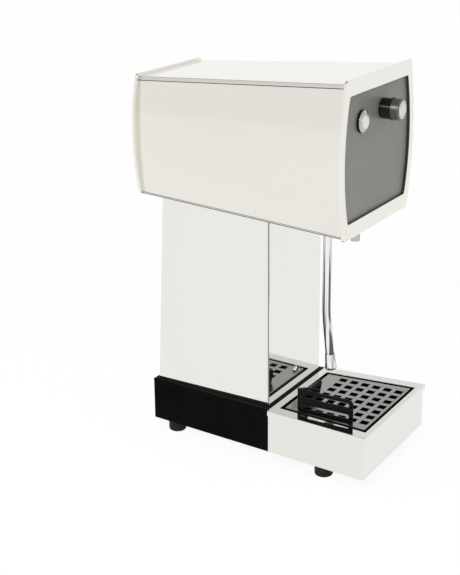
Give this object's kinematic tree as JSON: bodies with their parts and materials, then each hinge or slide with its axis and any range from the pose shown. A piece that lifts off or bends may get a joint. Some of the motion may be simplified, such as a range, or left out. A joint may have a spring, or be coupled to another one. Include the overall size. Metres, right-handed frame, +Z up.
{
  "type": "milk steamer",
  "caption": "Counter-top milk steamer: tapered steel head with button and knob on a column, steam wand and spout over a drip tray with a jug guide.",
  "frame": {"origin": "under the middle of the footprint, in the plane the feet stand on", "axes": "+Z up, -Y towards the user at the front of the tray, +X to the user's right"},
  "size_m": [0.195, 0.311, 0.4695],
  "materials": {
    "polished_steel": "polished",
    "plain_steel": "satin",
    "turned_steel": "turned",
    "chrome": "polished",
    "grey_paint": "satin",
    "black_paint": "satin",
    "black_plastic": "gloss",
    "grey_plastic": "matte",
    "board": "matte",
    "brass": "machined",
    "rubber": "matte"
  },
  "bodies": {
    "stand": {"foot_pads": "rubber", "foot_screws": "chrome", "base_plate": "black_paint", "base_housing": "black_paint", "base_lid": "black_paint", "power_inlet": "black_plastic", "water_inlet": "brass", "tray_box": "polished_steel", "tray_rim": "polished_steel", "column_shell": "polished_steel", "column_front": "polished_steel", "front_frame": "polished_steel", "rear_frame": "polished_steel", "side_panel_left": "polished_steel", "side_panel_right": "polished_steel", "top_cover": "polished_steel", "head_floor": "plain_steel", "floor_screws": "chrome", "plate_screw": "chrome", "front_panel": "grey_paint", "rear_panel": "plain_steel", "button_bezel": "black_plastic", "button_rim": "turned_steel", "button_switch": "black_plastic", "knob_encoder": "grey_plastic", "control_board": "board", "board_posts": "chrome", "boiler": "plain_steel", "boiler_saddles": "plain_steel", "steam_pipe": "brass", "steam_valve": "brass", "valve_coil": "black_plastic", "pump": "grey_plastic", "wand_socket": "chrome", "water_spout": "chrome"},
    "button": {"button_cap": "turned_steel", "button_stem": "black_plastic"},
    "knob": {"knob_body": "black_plastic", "knob_ring": "black_plastic", "knob_cap": "turned_steel", "knob_shaft": "chrome"},
    "wand": {"wand_tube": "chrome", "wand_tip": "chrome"},
    "pan": {"drip_pan": "black_paint"},
    "grille": {"drip_grille": "black_paint", "jug_guide": "black_paint"}
  },
  "joints": [
    {"name": "button_press", "type": "slide", "parent": "stand", "child": "button", "axis": [0, 1, 0], "range_m": [0, 0.0012], "stiffness_N_per_m": 2000, "springref_m": -0.0005},
    {"name": "knob_turn", "type": "hinge", "parent": "stand", "child": "knob", "pos_m": [0.014, -0.119, 0.4245], "axis": [0, -1, 0], "range_deg": [-135, 135]},
    {"name": "wand_swing", "type": "hinge", "parent": "stand", "child": "wand", "pos_m": [0, -0.061, 0.3], "axis": [0, 0, 1], "range_deg": [-60, 60]},
    {"name": "pan_lift", "type": "slide", "parent": "stand", "child": "pan", "axis": [0, 0, 1], "range_m": [0, 0.015]},
    {"name": "grille_lift", "type": "slide", "parent": "pan", "child": "grille", "axis": [0, 0, 1], "range_m": [0, 0.014]}
  ]
}
